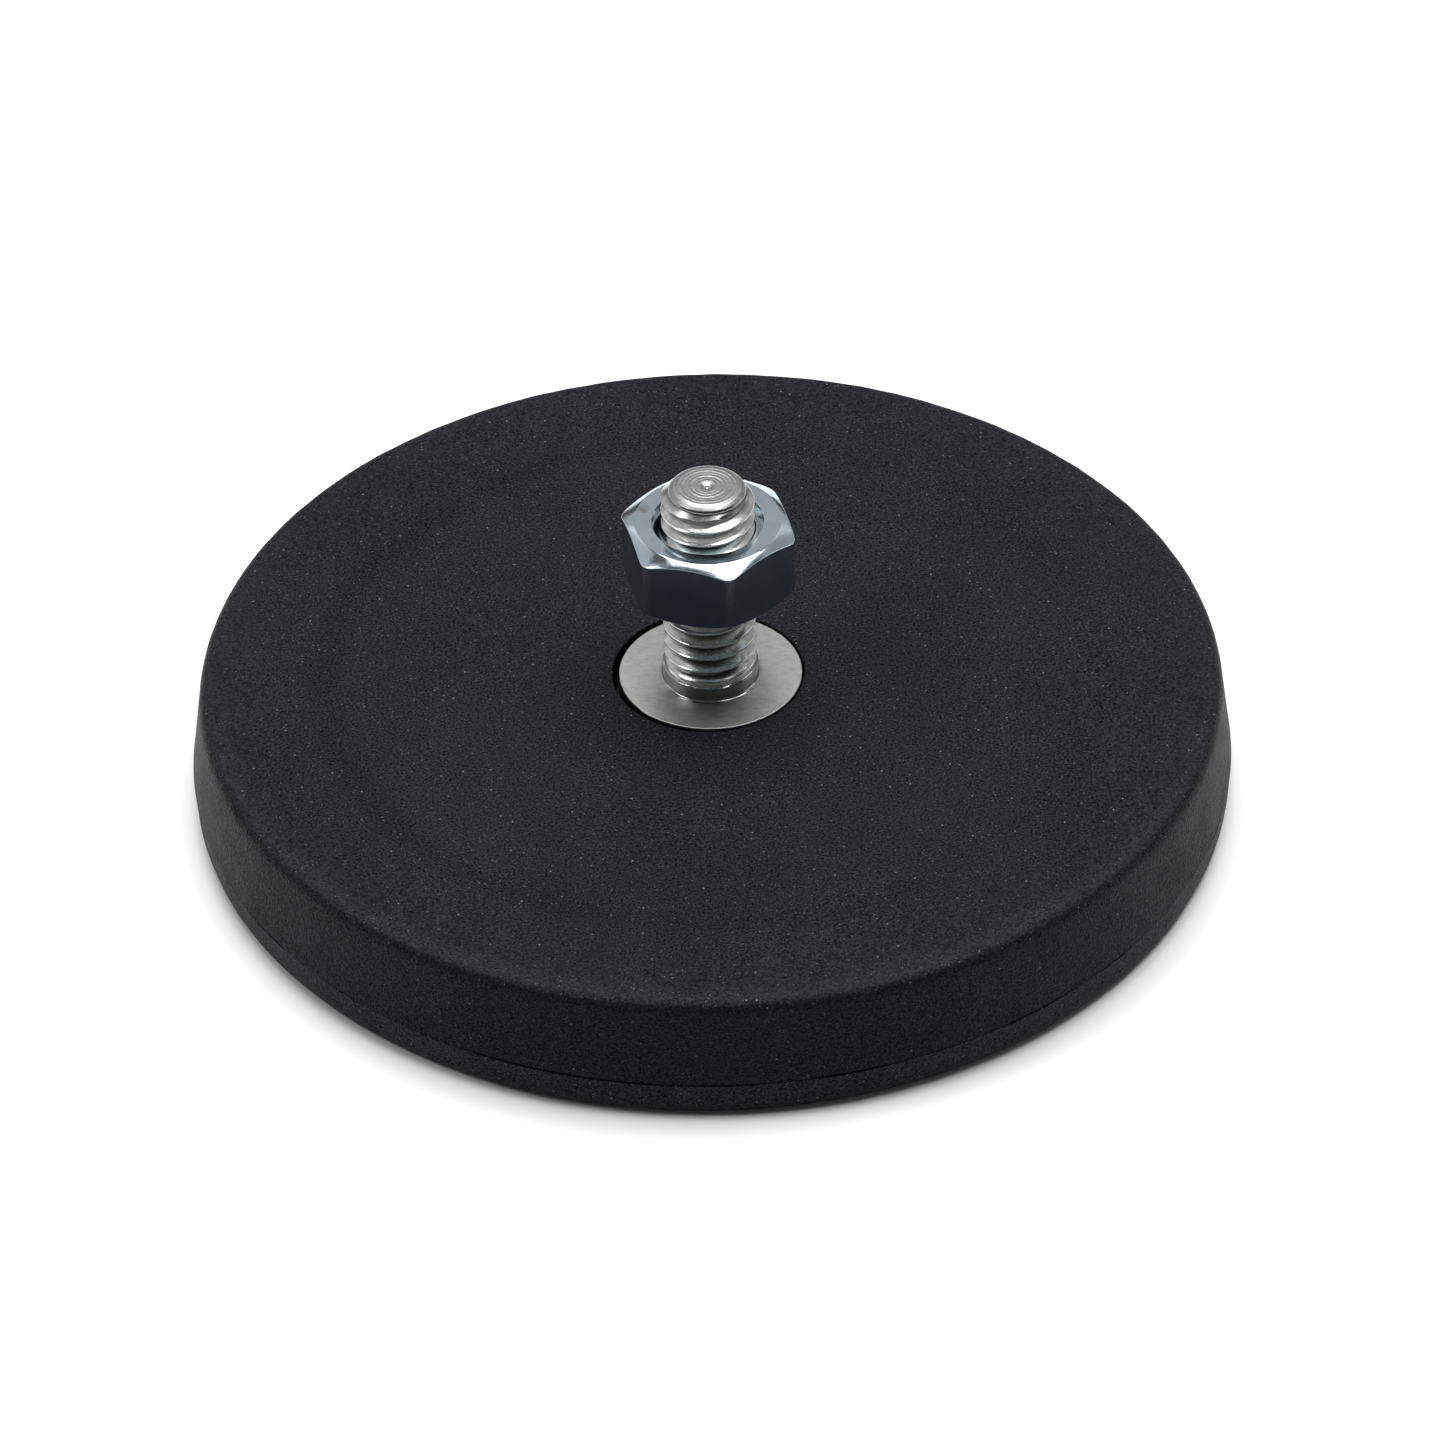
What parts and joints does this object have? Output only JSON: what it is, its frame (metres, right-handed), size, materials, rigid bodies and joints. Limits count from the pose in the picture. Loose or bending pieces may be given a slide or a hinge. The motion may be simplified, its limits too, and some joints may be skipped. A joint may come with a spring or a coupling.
{
  "type": "rubber-coated stud magnet",
  "caption": "Rubber-coated disc magnet with a flanged threaded stud and a hex nut; its flat rubber face grips steel and the stud carries a bracket or line.",
  "frame": {"origin": "centre of the flat working face that grips the steel, on the stud's axis", "axes": "+Z along the stud, away from the working face; the object is round, so +X and +Y are free directions"},
  "size_m": [0.0666, 0.0666, 0.0235],
  "materials": {
    "cover_rubber": "matte",
    "pad_rubber": "matte",
    "galvanised_steel": "satin",
    "bright_steel": "satin",
    "blue_zinc": "gloss",
    "nickel_plate": "gloss"
  },
  "bodies": {
    "magnet_body": {"rubber_cover": "cover_rubber", "rubber_base_pad": "pad_rubber", "yoke_plate": "galvanised_steel", "threaded_stud": "bright_steel", "magnet_01": "nickel_plate", "magnet_02": "nickel_plate", "magnet_03": "nickel_plate", "magnet_04": "nickel_plate", "magnet_05": "nickel_plate", "magnet_06": "nickel_plate", "magnet_07": "nickel_plate", "magnet_08": "nickel_plate", "magnet_09": "nickel_plate", "magnet_10": "nickel_plate", "magnet_11": "nickel_plate", "magnet_12": "nickel_plate", "magnet_13": "nickel_plate", "magnet_14": "nickel_plate", "magnet_15": "nickel_plate", "magnet_16": "nickel_plate", "magnet_17": "nickel_plate", "magnet_18": "nickel_plate"},
    "nut": {"hex_nut": "blue_zinc"}
  },
  "joints": [
    {"name": "nut_travel", "type": "slide", "parent": "magnet_body", "child": "nut", "axis": [0, 0, 1], "range_m": [-0.0061, 0.0065]}
  ]
}
